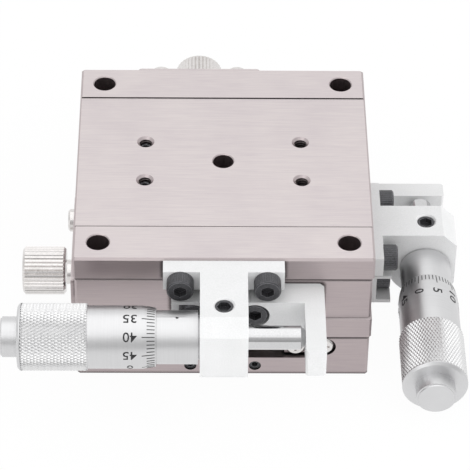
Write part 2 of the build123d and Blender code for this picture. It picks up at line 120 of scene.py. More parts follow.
# Knurled heads of the socket head cap screws, and where their fronts stand
CAP_RADIUS = 2.65
CAP_RIDGE = 2.7
CAP_TEETH = 36
CAP_BODY = 2.7
BRACKET_SCREWS = [(-8.6, -33.3, 29.0), (8.6, -33.3, 29.0)]
ANVIL_SCREWS = [(-6.2, -32.2, 21.65), (6.2, -32.2, 21.65)]

# Threads of the table's four small holes
THREAD_MOUTHS = [(x, y, 31.3) for x in (-16, 16) for y in (-6, 6)]
THREAD_RADIUS = 1.3
THREAD_PITCH = 0.65
THREAD_DEPTH = 4.4
THREAD_SINK = 0.4
THREAD_STEPS = 24

# Set screws that stand in two of those holes
TABLE_SCREWS = [(-16, -6), (-16, 6)]
TABLE_SCREW_TOP = 30.5
TABLE_SCREW_LENGTH = 3.0
TABLE_SCREW_RADIUS = 1.15
TABLE_SCREW_KEY = 0.75
TABLE_SCREW_BEVEL = 0.12

# Preload springs
SPRING_Y = 9.9
SPRING_Z = 23.6
COIL_RADIUS = 1.42
COIL_END = 19.4
COIL_PITCH = 0.55
COIL_STEPS = 14
WIRE_RADIUS = 0.17
WIRE_SIDES = 6
POST_X = 22.0
POST_RADIUS = 0.9
EYE_PLAY = 0.05
EYE_SEGMENTS = 24
LEG_OVERLAP = 0.3
TAIL_INSET = 0.1

# Lock knob: its axis runs along Y, at this place in X and Z
KNOB_X = -5
KNOB_Z = 21.7

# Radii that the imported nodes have, each with the one that the photograph shows
BARREL = (5.2, BARREL_RADIUS)
SPINDLE = (2.25, 2.4)
BORE = (5.28, 5.42)
CAP_END = (3.5, 3.65)
KNOB_GRIP = (4.85, 5.05)
KNOB_COLLAR = (3.2, 2.3)
CLAMP_KEY = (0.9, 1.45)

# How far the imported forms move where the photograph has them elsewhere
GRIP_END_SHIFT = 0.15
CAP_CHAMFER_SHIFT = -0.15
KNOB_FACE_SHIFT = 0.2
CLAMP_RISE = 1.05
END_SCREW_SHIFT = -0.4
ANVIL_SHIFT = -0.9
ANVIL_TRIM = 1.35
WRENCH_HOLE_SHRINK = 0.5

# Corners closer than this are one, in a copied node and in a coil
NODE_WELD = 0.0005
COIL_WELD = 0.001
SMOOTH_ANGLE = radians(30)

# Places that part the corners to be moved from the others of their node
CLAMP_KEY_REACH = 1.1
CLAMP_HEAD_Z = 28.5
SPINDLE_TIP_X = 14.5
ANVIL_FACE_X = 15.5
ANVIL_END_Y = -47

# Camera, from a fit to the outline of the blocks and the head
CAMERA_TARGET = Vector((2.244, -22.835, 32.0)) * MM
CAMERA_AZIMUTH = radians(-1.0425)
CAMERA_ELEVATION = radians(42.083)
CAMERA_ROLL = radians(0.9)
CAMERA_DISTANCE = 544.86 * MM
CAMERA_LENS = 209.5
CAMERA_NEAREST = 0.01
SENSOR = 36.0

# Studio, in metres: a white floor, and a sky that is brighter above and behind the stage
WHITE = (1, 1, 1, 1)
FLOOR_SIZE = 6
FLOOR_DROP = 0.0002
FLOOR_PAINT = "#F4F4F4"
FLOOR_GLOW = 0.955  # share of glow against paint, to the eye
SKY_SLANT = (0.0, 0.5, 0.6)  # the way that the sky brightens
SKY_SPAN = (-0.35, 0.45)  # from here to here along it
SKY_LEVELS = (0.5, 1.0)
SKY_ON_MATT = 0.75  # the even level that matt faces get

# Soft lights: place, width, height, watts, and whether metal mirrors them
LIGHTS_AIM = Vector((0, 0, 0.02))
SOFTBOXES = {
    "softbox_above": ((0.0, -0.05, 0.95), 1.2, 1.8, 3.1, True),
    "softbox_front_left": ((-0.6, -0.8, 0.6), 0.8, 0.8, 1.8, True),
    "softbox_front_low": ((0.15, -1.0, 0.45), 1.4, 0.6, 1.7, False),
    "softbox_right": ((0.9, -0.35, 0.55), 0.8, 0.6, 4.4, False),
}

# Metals
STAIN_SHARE = 0.35  # weight of the stains against the tool marks
TINT_SPAN = (0.35, 0.65)  # part of the noise that runs from the dark colour to the light one
ROUGH_SPAN = (0.3, 0.7)  # part of it that runs from the lower roughness to the higher
BUMP_STRENGTH = 0.6
# Painted shade is tinted into the faces that don't face up, between these two tilts
SIDE_SHADE_SPAN = (0.95, 0.6)  # how far up a face looks: a top face, a side
# Paler edges, partly wear and partly a painted highlight: how far they reach, and how round an
# edge has to be
RUB_AND_HIGHLIGHT_RADIUS = 0.12  # reach of a rubbed edge
RUB_AND_HIGHLIGHT_SPAN = (0.995, 0.93)  # a face against its rounded edge: untouched, fully rubbed
# Painted shade: ambient occlusion darkens the nickel where another block is near, in a narrow gap
SEAM_SHADE_REACH = 1.0  # how near the other block has to be
SEAM_SHADE_SPAN = (0.7, 0.97)  # how open a place is: deep in a seam, clear of it
SEAM_SHADE_COLOUR = "#2A2627"

# A Mix node repeats its names for each kind of value, so its sockets go by number
SHARE, VALUE_A, VALUE_B, COLOUR_A, COLOUR_B = 0, 2, 3, 6, 7
VALUE_OUT, COLOUR_OUT = 0, 2


def at(x, y, z):
    """A place in millimetres turned to metres."""
    return x * MM, y * MM, z * MM


def set_camera():
    """Stand the camera at the photograph's angle."""
    ahead = Vector((
        -sin(CAMERA_AZIMUTH) * cos(CAMERA_ELEVATION),
        cos(CAMERA_AZIMUTH) * cos(CAMERA_ELEVATION),
        -sin(CAMERA_ELEVATION),
    ))
    right = ahead.cross(Vector((0, 0, 1))).normalized()
    up = right.cross(ahead)
    rolled_right = cos(CAMERA_ROLL) * right + sin(CAMERA_ROLL) * up
    rolled_up = cos(CAMERA_ROLL) * up - sin(CAMERA_ROLL) * right
    turn = Matrix((rolled_right, rolled_up, -ahead)).transposed().to_4x4()
    data = bpy.data.cameras.new("stage_camera")
    data.lens = CAMERA_LENS
    data.sensor_width = SENSOR
    data.clip_start = CAMERA_NEAREST
    camera = bpy.data.objects.new("stage_camera", data)
    bpy.context.scene.collection.objects.link(camera)
    camera.matrix_world = Matrix.Translation(CAMERA_TARGET - ahead * CAMERA_DISTANCE) @ turn
    bpy.context.scene.camera = camera


def colour(code):
    """An sRGB hex code as linear red, green, blue and alpha."""
    parts = [int(code[start:start + 2], 16) / 255 for start in (1, 3, 5)]
    linear = [part / 12.92 if part <= 0.04045 else ((part + 0.055) / 1.055) ** 2.4
              for part in parts]
    return linear + [1.0]


def add(tree, kind, inputs=None, **settings):
    """Add a node with its settings; an input is a value or the socket that feeds it."""
    made = tree.nodes.new(kind)
    for name, value in settings.items():
        setattr(made, name, value)
    for name, value in (inputs or {}).items():
        if isinstance(value, bpy.types.NodeSocket):
            tree.links.new(value, made.inputs[name])
        else:
            made.inputs[name].default_value = value
    return made


def start_material(name):
    """An empty material with its output node."""
    material = bpy.data.materials.new(name)
    material.use_nodes = True
    tree = material.node_tree
    tree.nodes.clear()
    return material, tree, add(tree, "ShaderNodeOutputMaterial")


def seen_rays(tree):
    """1 for rays from the camera, off metal or through glass, 0 for those off matt faces."""
    rays = add(tree, "ShaderNodeLightPath").outputs
    seen = rays["Is Camera Ray"]
    for kind in ("Is Glossy Ray", "Is Transmission Ray"):
        seen = add(tree, "ShaderNodeMath", {0: seen, 1: rays[kind]},
                   operation="ADD", use_clamp=True).outputs[0]
    return seen


def lined_metal(name, dark, light, metallic, roughness, lines, patches, bump,
                rub_and_highlight=0.0, worn_and_lit="#FFFFFF", side_shade=None, seam_shade=0.0):
    """Metal with fine tool lines, broad stains, and rubbed edges that are partly wear and partly a
    painted highlight.

    lines gives the size of the tool marks along X, Y and Z in millimetres,
    patches the size of the stains, bump the height of the marks in micrometres.
    The rubbing strength is how strongly the edges take the paler edge colour, which is partly wear
    and partly a painted edge highlight.
    The side tint is multiplied in on every face that doesn't face up, as painted shade,
    and the seam share is painted shade: the part of the light taken out where two blocks meet in a
    narrow gap.
    """
    material, tree, output = start_material(name)
    place = add(tree, "ShaderNodeTexCoord").outputs
    stretched = add(tree, "ShaderNodeMapping", {
        "Vector": place["Object"],
        "Scale": [1 / (size * MM) for size in lines]}).outputs["Vector"]
    marks = add(tree, "ShaderNodeTexNoise", {
        "Vector": stretched, "Scale": 1.0, "Detail": 3.0, "Roughness": 0.6}).outputs["Fac"]
    stains = add(tree, "ShaderNodeTexNoise", {
        "Vector": place["Object"], "Scale": 1 / (patches * MM),
        "Detail": 4.0, "Roughness": 0.55}).outputs["Fac"]
    both = add(tree, "ShaderNodeMix", {
        SHARE: STAIN_SHARE, VALUE_A: marks, VALUE_B: stains}, data_type="FLOAT").outputs[VALUE_OUT]
    tint = add(tree, "ShaderNodeValToRGB", {"Fac": both})
    for stop, position, code in zip(tint.color_ramp.elements, TINT_SPAN, (dark, light)):
        stop.position = position
        stop.color = colour(code)
    base = tint.outputs["Color"]
    # Painted shade: every face that doesn't face up is tinted darker.
    if side_shade:
        facing = add(tree, "ShaderNodeSeparateXYZ", {"Vector": place["Normal"]}).outputs["Z"]
        side_shade_share = add(tree, "ShaderNodeMapRange", {
            "Value": facing, "From Min": SIDE_SHADE_SPAN[0], "From Max": SIDE_SHADE_SPAN[1],
            "To Min": 0.0, "To Max": 1.0}).outputs["Result"]
        base = add(tree, "ShaderNodeMix", {
            SHARE: side_shade_share, COLOUR_A: base, COLOUR_B: colour(side_shade)},
            data_type="RGBA", blend_type="MULTIPLY").outputs[COLOUR_OUT]
    # Painted highlight and wear: rounded edges, found by the Bevel node, take a paler colour.
    if rub_and_highlight:
        rounded = add(tree, "ShaderNodeBevel", {
            "Radius": RUB_AND_HIGHLIGHT_RADIUS * MM}, samples=4).outputs["Normal"]
        flat = add(tree, "ShaderNodeNewGeometry").outputs["True Normal"]
        match = add(tree, "ShaderNodeVectorMath", {
            0: rounded, 1: flat}, operation="DOT_PRODUCT").outputs["Value"]
        edge = add(tree, "ShaderNodeMapRange", {
            "Value": match, "From Min": RUB_AND_HIGHLIGHT_SPAN[0], "From Max": RUB_AND_HIGHLIGHT_SPAN[1],
            "To Min": 0.0, "To Max": rub_and_highlight}).outputs["Result"]
        base = add(tree, "ShaderNodeMix", {
            SHARE: edge, COLOUR_A: base, COLOUR_B: colour(worn_and_lit)},
            data_type="RGBA").outputs[COLOUR_OUT]
    # Painted shade: ambient occlusion darkens the colour in the narrow gaps between blocks.
    if seam_shade:
        open_share = add(tree, "ShaderNodeAmbientOcclusion", {
            "Distance": SEAM_SHADE_REACH * MM}, samples=8).outputs["AO"]
        shade = add(tree, "ShaderNodeMapRange", {
            "Value": open_share, "From Min": SEAM_SHADE_SPAN[0], "From Max": SEAM_SHADE_SPAN[1],
            "To Min": seam_shade, "To Max": 0.0}).outputs["Result"]
        base = add(tree, "ShaderNodeMix", {
            SHARE: shade, COLOUR_A: base, COLOUR_B: colour(SEAM_SHADE_COLOUR)},
            data_type="RGBA").outputs[COLOUR_OUT]
    rough = add(tree, "ShaderNodeMapRange", {
        "Value": both, "From Min": ROUGH_SPAN[0], "From Max": ROUGH_SPAN[1],
        "To Min": roughness[0], "To Max": roughness[1]}).outputs["Result"]
    relief = add(tree, "ShaderNodeBump", {
        "Strength": BUMP_STRENGTH, "Distance": bump * MM * MM, "Height": marks}).outputs["Normal"]
    shader = add(tree, "ShaderNodeBsdfPrincipled", {
        "Base Color": base, "Metallic": metallic, "Roughness": rough, "Normal": relief})
    tree.links.new(shader.outputs["BSDF"], output.inputs["Surface"])
    return material


# Ground steel under satin nickel: a warm grey with straight grinding lines along X.
# Real lines are about 0.05 mm apart; they are drawn 0.25 mm apart so that they show.
# The faces that don't face up are tinted darker, as painted shade,
# and the narrow gaps between the blocks are darkened, as painted shade.
ground_nickel = lined_metal(
    "ground_nickel_steel", "#CAC1C3", "#D6CECD", metallic=1.0, roughness=(0.34, 0.42),
    lines=(7.0, 0.25, 0.25), patches=14.0, bump=1.8, rub_and_highlight=0.25, worn_and_lit="#E4DAD7",
    side_shade="#DDD8D9", seam_shade=0.8)

# Bead-blasted aluminium, clear anodised: nearly white and matt, with a fine even grain of 0.25 mm.
blasted_aluminium = lined_metal(
    "blasted_anodised_aluminium", "#DBDCDC", "#E6E6E7", metallic=0.2, roughness=(0.5, 0.65),
    lines=(0.25, 0.25, 0.25), patches=6.0, bump=4.0, rub_and_highlight=0.4, worn_and_lit="#F2F2F2")

# Turned steel under satin chrome: fine rings round the turning axis, drawn 0.25 mm apart.
turned_chrome = {
    axis: lined_metal(
        f"turned_satin_chrome_{axis}", "#D3D3D4", "#D9D9DA", metallic=1.0, roughness=(0.37, 0.4),
        lines=rings, patches=8.0, bump=0.35)
    for axis, rings in (("x", (0.25, 9.0, 9.0)), ("y", (9.0, 0.25, 9.0)))}

# The grip is rolled, not turned: the same chrome on smoother faces.
rolled_chrome = lined_metal(
    "rolled_satin_chrome", "#DADADB", "#E8E8E8", metallic=1.0, roughness=(0.24, 0.32),
    lines=(0.3, 0.3, 0.3), patches=4.0, bump=3.0)

# Black oxide on alloy steel: a dark bluish grey, oiled, a little paler at the edges, partly rubbed
# and partly a painted rim highlight.
black_oxide = lined_metal(
    "black_oxide_steel", "#38383A", "#505053", metallic=0.5, roughness=(0.26, 0.42),
    lines=(0.3, 0.3, 0.3), patches=1.5, bump=6.0, rub_and_highlight=0.8, worn_and_lit="#9A9A9F")

# Bright nickel on turned and knurled steel: mirror-like with a warm tint.
bright_nickel = lined_metal(
    "bright_nickel", "#D4D1CF", "#E4E1E0", metallic=1.0, roughness=(0.14, 0.24),
    lines=(0.4, 0.4, 0.4), patches=2.0, bump=3.0, rub_and_highlight=0.3, worn_and_lit="#F4F0EC")

# Ground and polished spindle steel: nearly a mirror, with the finest rings of all.
polished_steel = lined_metal(
    "polished_spindle_steel", "#CBCBCC", "#D4D4D5", metallic=1.0, roughness=(0.07, 0.11),
    lines=(0.3, 0.3, 0.3), patches=6.0, bump=0.3)

# Hardened rollers and pins, ground and oiled: even and bright, a shade darker than the plating.
bearing_steel = lined_metal(
    "bearing_steel", "#9A9B9F", "#B5B6BA", metallic=1.0, roughness=(0.12, 0.22),
    lines=(0.3, 0.3, 0.3), patches=3.0, bump=2.0)

# Drawn spring wire with its bluish drawing film: grey and half matt.
spring_wire = lined_metal(
    "spring_wire", "#7D8086", "#999CA1", metallic=1.0, roughness=(0.28, 0.4),
    lines=(0.6, 0.2, 0.2), patches=2.0, bump=3.0)

# Rolled brass sheet of the cages, a little dulled, with its rolling lines along X.
cage_brass = lined_metal(
    "rolled_brass", "#A8874A", "#C4A361", metallic=1.0, roughness=(0.3, 0.42),
    lines=(6.0, 0.3, 0.3), patches=4.0, bump=3.0)

# Black enamel rubbed into the engraved marks: a smooth dark paint, no metal.
engraving_black = lined_metal(
    "engraving_enamel", "#141416", "#222225", metallic=0.0, roughness=(0.28, 0.36),
    lines=(0.2, 0.2, 0.2), patches=1.0, bump=4.0)

FINISHES = {
    "plated_steel": ground_nickel,
    "anodised_aluminium": blasted_aluminium,
    "black_oxide_steel": black_oxide,
    "bright_nickel": bright_nickel,
    "bearing_steel": bearing_steel,
    "spring_steel": spring_wire,
    "cage_brass": cage_brass,
}
SLOTS = {part["node"]: part["material_slot"] for part in frame["record"]["subparts"]}
BODIES = {
    node: body
    for body, nodes in frame["record"]["behaviour"]["bodies"].items() for node in nodes}


def finish_of(node):
    """The finish that a CAD node or its stand-in wears."""
    if node.endswith("_spindle"):
        return polished_steel
    if SLOTS[node] == "satin_chrome":
        return turned_chrome[node[0]]
    return FINISHES[SLOTS[node]]


def clear_selection():
    """Leave edit mode and deselect everything."""
    if bpy.context.mode != "OBJECT":
        bpy.ops.object.mode_set(mode="OBJECT")
    bpy.ops.object.select_all(action="DESELECT")


def pick(piece):
    """Make one piece the selected and active one."""
    clear_selection()
    piece.select_set(True)
    bpy.context.view_layer.objects.active = piece


def edit(piece, mode):
    """Open a piece in edit mode with nothing selected; mode is VERT, EDGE or FACE."""
    pick(piece)
    bpy.ops.object.mode_set(mode="EDIT")
    bpy.ops.mesh.select_mode(type=mode)
    bpy.ops.mesh.select_all(action="DESELECT")


def select(piece, kind, test):
    """Select what passes the test; kind is the mesh's own list: vertices, edges or polygons."""
    bpy.ops.mesh.select_all(action="DESELECT")
    bpy.ops.object.mode_set(mode="OBJECT")
    for item in getattr(piece.data, kind):
        item.select = test(item)
    bpy.ops.object.mode_set(mode="EDIT")


def ends(piece, edge):
    """The two end points of an edge."""
    return [piece.data.vertices[number].co for number in edge.vertices]


def rest(piece, name):
    """Leave edit mode and put the piece's place into its mesh."""
    clear_selection()
    piece.data.transform(piece.matrix_basis)
    piece.matrix_basis = PLAIN
    piece.name = name
    piece.data.name = name
    return piece


def modify(piece, kind, **settings):
    """Add a modifier and apply it."""
    pick(piece)
    modifier = piece.modifiers.new(kind.lower(), kind)
    for name, value in settings.items():
        setattr(modifier, name, value)
    bpy.ops.object.modifier_apply(modifier=modifier.name)


def start_mesh(name):
    """An empty piece, open in edit mode, for marks that are added to it one by one."""
    piece = bpy.data.objects.new(name, bpy.data.meshes.new(name))
    bpy.context.scene.collection.objects.link(piece)
    edit(piece, "FACE")
    return piece


def copy_of(piece, name, change):
    """A copy with its own mesh, moved by the matrix."""
    twin = piece.copy()
    twin.data = piece.data.copy()
    twin.data.transform(change)
    twin.name = name
    twin.data.name = name
    bpy.context.scene.collection.objects.link(twin)
    return twin


def join(pieces, name):
    """Join several pieces into one."""
    clear_selection()
    for piece in pieces:
        piece.select_set(True)
    bpy.context.view_layer.objects.active = pieces[0]
    bpy.ops.object.join()
    return rest(pieces[0], name)


def dress(piece, material, slot, body):
    """Give a new piece its finish and let it ride on its body."""
    piece.data.materials.clear()
    piece.data.materials.append(material)
    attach(piece, body)


def head_turn(angle):
    """A turn round the upper micrometer's axis."""
    axis = Vector(HEAD) * MM
    return Matrix.Translation(axis) @ Matrix.Rotation(angle, 4, "X") @ Matrix.Translation(-axis)


def spin_copies(count, angle):
    """Copy what is selected round the upper micrometer's axis."""
    bpy.ops.mesh.spin(
        steps=count, dupli=True, angle=angle, use_normal_flip=False,
        center=at(*HEAD), axis=(1, 0, 0))


def move(test, stretch=(1, 1, 1), centre=(0, 0, 0), shift=(0, 0, 0)):
    """One step of fitted: stretch the corners that pass a test about a centre and shift them."""
    return test, stretch, centre, shift


def ring(low, high, now, wanted, shift=(0, 0, 0), reach=0.05):
    """Bring corners about the head's axis from one radius to another, between two places in X.

    reach is how far from the first radius a corner may lie.
    """
    def test(x, y, z):
        return low < x < high and abs(hypot(y - HEAD_Y, z - HEAD_Z) - now) < reach
    return move(test, (1, wanted / now, wanted / now), HEAD, shift)


def knob_ring(near, far, low, high, grow=1.0, shift=(0, 0, 0)):
    """Stretch the lock knob's corners between two distances from its axis and two depths."""
    def test(x, y, z):
        return near < hypot(x - KNOB_X, z - KNOB_Z) < far and low < y < high
    return move(test, (grow, 1, grow), (KNOB_X, 0, KNOB_Z), shift)


def fitted(node, name, moves):
    """A copy of an upper-axis node with some corners moved, for a form that the node lacks."""
    piece = bpy.data.objects.new(name, frame["nodes"][node].data.copy())
    bpy.context.scene.collection.objects.link(piece)
    edit(piece, "VERT")
    bpy.ops.mesh.select_all(action="SELECT")
    bpy.ops.mesh.customdata_custom_splitnormals_clear()
    bpy.ops.mesh.remove_doubles(threshold=NODE_WELD * MM)
    for test, stretch, centre, shift in moves:
        select(piece, "vertices", lambda corner: test(*(corner.co / MM)))
        bpy.ops.transform.resize(value=stretch, center_override=Vector(centre) * MM)
        bpy.ops.transform.translate(value=Vector(shift) * MM)
    pick(piece)
    bpy.ops.object.shade_smooth_by_angle(angle=SMOOTH_ANGLE)
    return rest(piece, name)


def model_knurl():
    """Diamond knurl of the grip, its grooves at about 27 degrees to the axis."""
    bpy.ops.mesh.primitive_cylinder_add(
        vertices=KNURL_TEETH, radius=KNURL_ROOT * MM, depth=(KNURL_START - KNURL_END) * MM,
        end_fill_type="NOTHING", rotation=(0, pi / 2, 0),
        location=at((KNURL_START + KNURL_END) / 2, HEAD_Y, HEAD_Z))
    knurl = rest(bpy.context.object, "x_thimble_knurl")
    edit(knurl, "EDGE")

    def is_lengthwise(edge):
        """True for the cylinder's long edges, not for its two rims."""
        one, other = ends(knurl, edge)
        return abs((one - other).x) > MM

    select(knurl, "edges", is_lengthwise)
    bpy.ops.mesh.subdivide(number_cuts=KNURL_ROWS - 1)
    bpy.ops.mesh.select_all(action="SELECT")
    bpy.ops.mesh.poke(offset=0)

    def is_grid(edge):
        """True for the edges along and across that parted the cells, but not for the rims."""
        one, other = ends(knurl, edge)
        step = one - other
        along = abs(step.x)
        across = Vector((0, step.y, step.z)).length
        middle = (one.x + other.x) / 2 / MM
        inside = KNURL_END + 0.1 < middle < KNURL_START - 0.1
        return inside and min(along, across) < 0.02 * MM

    select(knurl, "edges", is_grid)
    bpy.ops.mesh.dissolve_edges(use_verts=False)
    bpy.ops.mesh.select_mode(type="FACE")
    bpy.ops.mesh.select_all(action="SELECT")
    bpy.ops.mesh.inset(
        thickness=KNURL_INSET * MM, depth=(KNURL_TIP - KNURL_ROOT) * MM, use_individual=True)
    return rest(knurl, "x_thimble_knurl")


def mark_radius(x):
    """Radius of the thimble's surface at a place along the axis."""
    return min(THIMBLE_RADIUS, BEVEL_RADIUS + (THIMBLE_FRONT - x) * BEVEL_SLOPE)


def add_mark(start, end):
    """One engraved line along the top of the bevel, added to the mesh that is being edited."""
    middle = (start + end) / 2
    tilt = atan(BEVEL_SLOPE)
    bpy.ops.mesh.select_all(action="DESELECT")
    bpy.ops.mesh.primitive_cube_add(
        size=1, location=at(middle, HEAD_Y, HEAD_Z + mark_radius(middle)), rotation=(0, tilt, 0),
        scale=((start - end) * MM / cos(tilt), MARK_WIDTH * MM, 2 * MARK_PROUD * MM))


def model_marks():
    """The lines of the thimble's scale, long at every fifth."""
    marks = start_mesh("x_thimble_marks")
    bevel_end = THIMBLE_FRONT - BEVEL_LENGTH
    add_mark(MARK_START, bevel_end)
    # A long mark runs on past the bevel, so its end face is drawn out level.
    select(marks, "polygons", lambda face: face.center.x / MM < bevel_end + 0.05)
    bpy.ops.mesh.extrude_region_move(
        TRANSFORM_OT_translate={"value": at(LONG_MARK_END - bevel_end, 0, 0)})
    add_mark(MARK_START, SHORT_MARK_END)
    bpy.ops.transform.rotate(value=DIVISION_ANGLE, orient_axis="X", center_override=at(*HEAD))
    spin_copies(NUMBERED - 2, (NUMBERED - 2) * DIVISION_ANGLE)
    bpy.ops.mesh.select_all(action="SELECT")
    groups = DIVISIONS // NUMBERED
    spin_copies(groups - 1, 2 * pi * (groups - 1) / groups)
    return rest(marks, "x_thimble_marks")


def model_number(text, along, angle, radius, size=1.0):
    """A flat number that reads away from the spindle, held against a cylinder round the head.

    along is its place on the axis, angle its turn from the front upwards.
    """
    bpy.ops.object.text_add()
    number = bpy.context.object
    number.data.body = text
    number.data.align_x = "CENTER"
    number.data.align_y = "CENTER"
    number.data.offset = STROKE_GROWTH
    number.data.resolution_u = DIGIT_CURVE_STEPS
    pick(number)
    bpy.ops.object.convert(target="MESH")
    number = bpy.context.object
    corners = [vertex.co for vertex in number.data.vertices]
    low = Vector(min(corner[i] for corner in corners) for i in range(3))
    high = Vector(max(corner[i] for corner in corners) for i in range(3))
    width = (DIGIT_WIDTH * len(text) + NUMBER_GAP * (len(text) - 1)) * size * MM
    height = NUMBER_HEIGHT * size * MM
    fit = Matrix.Diagonal((width / (high.x - low.x), height / (high.y - low.y), 1, 1))
    number.data.transform(fit @ Matrix.Translation(-(low + high) / 2))
    edit(number, "FACE")
    half = NUMBER_BANDS // 2
    for band in range(1 - half, half):
        bpy.ops.mesh.select_all(action="SELECT")
        bpy.ops.mesh.bisect(plane_co=(0, band * height / NUMBER_BANDS, 0), plane_no=(0, 1, 0))
    clear_selection()
    outward = Vector((0, -cos(angle), sin(angle)))
    reading = Vector((-1, 0, 0))
    up = outward.cross(reading)
    turn = Matrix((reading, up, outward)).transposed().to_4x4()
    centre = Vector(at(along, HEAD_Y, HEAD_Z)) + outward * radius * MM
    number.data.transform(Matrix.Translation(centre) @ turn)
    return number


def lay_on_cylinder(flat, radius, name):
    """Join flat marks, wrap them on their cylinder and give them thickness."""
    marks = join(flat, name)
    bpy.ops.mesh.primitive_cylinder_add(
        vertices=FORMER_SIDES, radius=(radius + MARK_PROUD) * MM, depth=FORMER_LENGTH * MM,
        location=at(FORMER_MIDDLE, HEAD_Y, HEAD_Z), rotation=(0, pi / 2, 0))
    former = bpy.context.object
    modify(marks, "SHRINKWRAP", target=former, wrap_method="NEAREST_SURFACEPOINT")
    bpy.data.objects.remove(former)
    modify(marks, "SOLIDIFY", thickness=2 * MARK_PROUD * MM, offset=-1)
    return rest(marks, name)


def mark_angle(value):
    """Angle of a division of the upper thimble, from the front upwards."""
    return UPPER_ZERO - value * DIVISION_ANGLE


def add_strip(place, along, across):
    """A flat strip under the sleeve, facing down, added to the mesh that is being edited."""
    centre = Vector(place) * MM
    bpy.ops.mesh.select_all(action="DESELECT")
    bpy.ops.mesh.primitive_plane_add(size=MM, rotation=(pi, 0, 0), location=centre)
    bpy.ops.transform.resize(value=(along, across, 1), center_override=centre)
    bpy.ops.mesh.subdivide(number_cuts=3)


def model_sleeve_marks():
    """Datum line and half-millimetre marks along the underside of the sleeve, still flat."""
    marks = start_mesh("x_sleeve_marks")
    line_start = SLEEVE_ZERO + SLEEVE_LINE_LEAD
    bottom = HEAD_Z - BARREL_RADIUS
    add_strip(((line_start + SLEEVE_LINE_END) / 2, HEAD_Y, bottom),
              line_start - SLEEVE_LINE_END, SLEEVE_LINE_WIDTH)
    for half in range(2 * SLEEVE_SPAN + 1):
        length = SLEEVE_HALF_MARK if half % 2 else SLEEVE_MARK
        side = 1 if half % 2 else -1
        add_strip((SLEEVE_ZERO - half / 2, HEAD_Y + side * length / 2, bottom),
                  SLEEVE_LINE_WIDTH, length)
    return rest(marks, "x_sleeve_marks")


def model_screw_knurl():
    """Straight knurl round a cap screw's head, at the first bracket screw."""
    x, y, z = BRACKET_SCREWS[0]
    bpy.ops.mesh.primitive_cylinder_add(
        vertices=2 * CAP_TEETH, radius=CAP_RADIUS * MM, depth=CAP_BODY * MM,
        end_fill_type="NOTHING", location=at(x, y - CAP_BODY / 2, z), rotation=(pi / 2, 0, 0))
    knurl = rest(bpy.context.object, "screw_knurl")
    edit(knurl, "VERT")
    centre = Vector((x, y, z)) * MM
    tooth = 2 * pi / CAP_TEETH

    def is_ridge(vertex):
        """True for every other corner of the rims."""
        out = vertex.co - centre
        turns = atan2(out.z, out.x) / tooth
        return abs(turns - round(turns)) < 0.25

    select(knurl, "vertices", is_ridge)
    grow = CAP_RIDGE / CAP_RADIUS
    bpy.ops.transform.resize(value=(grow, 1, grow), center_override=centre)
    return rest(knurl, "screw_knurl")


def model_thread(mouth, name):
    """A thread's ridge, coiled down a drilled hole from its mouth."""
    ridge = THREAD_PITCH / 3 ** 0.5
    bpy.ops.mesh.primitive_circle_add(vertices=3, radius=ridge * MM, rotation=(pi / 2, 0, 0))
    thread = rest(bpy.context.object, name)
    inward = Matrix.Rotation(pi / 2, 4, "Y")
    out = -(THREAD_RADIUS + ridge * THREAD_SINK)
    thread.data.transform(Matrix.Translation(at(out, 0, 0)) @ inward)
    modify(thread, "SCREW", angle=2 * pi, screw_offset=-THREAD_PITCH * MM,
           iterations=int(THREAD_DEPTH / THREAD_PITCH), steps=THREAD_STEPS,
           render_steps=THREAD_STEPS, axis="Z", use_merge_vertices=True,
           merge_threshold=COIL_WELD * MM)
    thread.data.transform(Matrix.Translation(Vector(mouth) * MM))
    return thread


def model_table_screw():
    """A socket set screw that stands in one of the table's small holes."""
    x, y = TABLE_SCREWS[0]
    bpy.ops.mesh.primitive_cylinder_add(
        vertices=32, radius=TABLE_SCREW_RADIUS * MM, depth=TABLE_SCREW_LENGTH * MM,
        location=at(x, y, TABLE_SCREW_TOP - TABLE_SCREW_LENGTH / 2))
    screw = rest(bpy.context.object, "table_set_screw_1")
    bpy.ops.mesh.primitive_cylinder_add(
        vertices=6, radius=TABLE_SCREW_KEY * MM, depth=2 * TABLE_SCREW_KEY * MM,
        location=at(x, y, TABLE_SCREW_TOP))
    key = rest(bpy.context.object, "table_screw_key")
    modify(screw, "BOOLEAN", object=key, operation="DIFFERENCE")
    bpy.data.objects.remove(key)
    modify(screw, "BEVEL", width=TABLE_SCREW_BEVEL * MM, segments=1, limit_method="ANGLE")
    return screw


def add_wire(x, y, z, length, rotation):
    """A straight run of spring wire, lying along the axis that its rotation gives."""
    bpy.ops.mesh.primitive_cylinder_add(
        vertices=WIRE_SIDES, radius=WIRE_RADIUS * MM, depth=length * MM,
        location=at(x, y, z), rotation=rotation)
    return bpy.context.object


